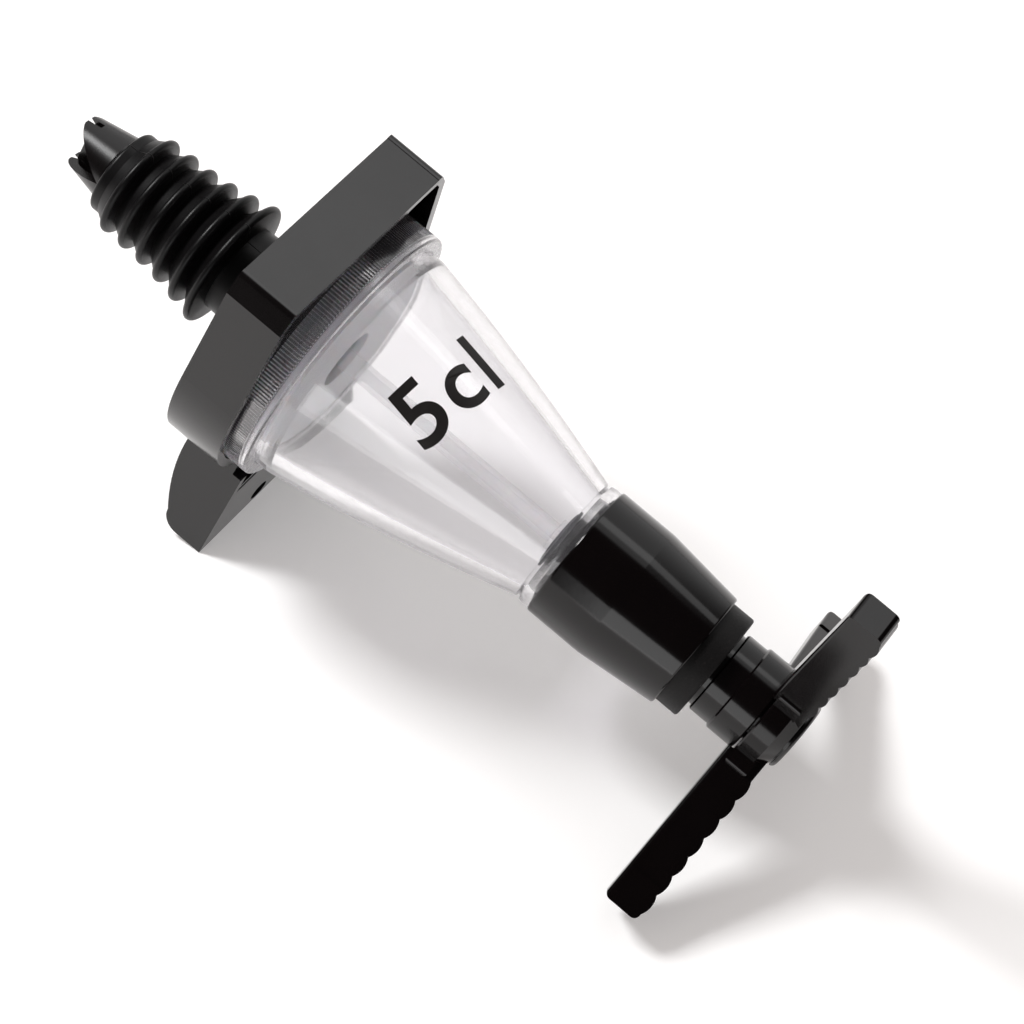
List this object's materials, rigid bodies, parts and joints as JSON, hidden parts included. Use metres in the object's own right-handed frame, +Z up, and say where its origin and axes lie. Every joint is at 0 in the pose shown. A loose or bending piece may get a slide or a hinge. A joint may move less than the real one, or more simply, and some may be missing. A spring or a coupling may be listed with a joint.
{
  "type": "liquor optic dispenser",
  "caption": "Push-up spirit measure for an upturned bottle: ribbed bung, black collar with wall bracket, clear measuring chamber, spring plunger and three-armed actuator.",
  "frame": {"origin": "on the spindle axis, in the top face of the collar, where the bottle's mouth seats", "axes": "+Z up along the axis, through the bung into the bottle; -Y the plain front plate; +Y the wall bracket"},
  "size_m": [0.0812, 0.0993, 0.1757],
  "materials": {
    "black_abs": "gloss moulded",
    "plate_black": "gloss moulded",
    "stem_black": "semi-gloss moulded",
    "plunger_black": "gloss moulded",
    "star_black": "gloss moulded",
    "nozzle_black": "semi-gloss moulded",
    "seat_black": "gloss moulded",
    "matte_black": "matte, speckled",
    "bung_rubber": "semi-matte moulded rubber",
    "seal_rubber": "matte rubber",
    "clear_san": "clear, polished",
    "white_polyethylene": "translucent white",
    "spring_steel": "bright drawn wire and sheet"
  },
  "bodies": {
    "dispenser_body": {"collar_housing": "black_abs", "front_plate": "plate_black", "inlet_stem": "stem_black", "bottle_bung": "bung_rubber", "stem_gasket": "seal_rubber", "inlet_disc": "white_polyethylene", "chamber_gasket": "seal_rubber", "ring_nut": "clear_san", "measuring_chamber": "clear_san", "tail_gasket": "seal_rubber", "outlet_seat": "seat_black", "lower_sleeve": "black_abs", "end_ring": "matte_black", "return_spring": "spring_steel"},
    "plunger_group": {"plunger": "plunger_black", "spindle_tube": "white_polyethylene", "spring_washer": "spring_steel", "inlet_seal": "seal_rubber", "outlet_seal": "seal_rubber", "seal_clip": "spring_steel", "vent_valve": "seal_rubber", "nozzle_tip": "nozzle_black"},
    "actuator": {"actuator_star": "star_black"}
  },
  "joints": [
    {"name": "press_slide", "type": "slide", "parent": "dispenser_body", "child": "plunger_group", "axis": [0, 0, 1], "range_m": [0, 0.005], "stiffness_N_per_m": 600, "springref_m": -0.008, "deforming": ["return_spring"]},
    {"name": "actuator_swivel", "type": "hinge", "parent": "plunger_group", "child": "actuator", "pos_m": [0, 0, -0.1226], "axis": [0, 0, 1], "continuous": true}
  ]
}
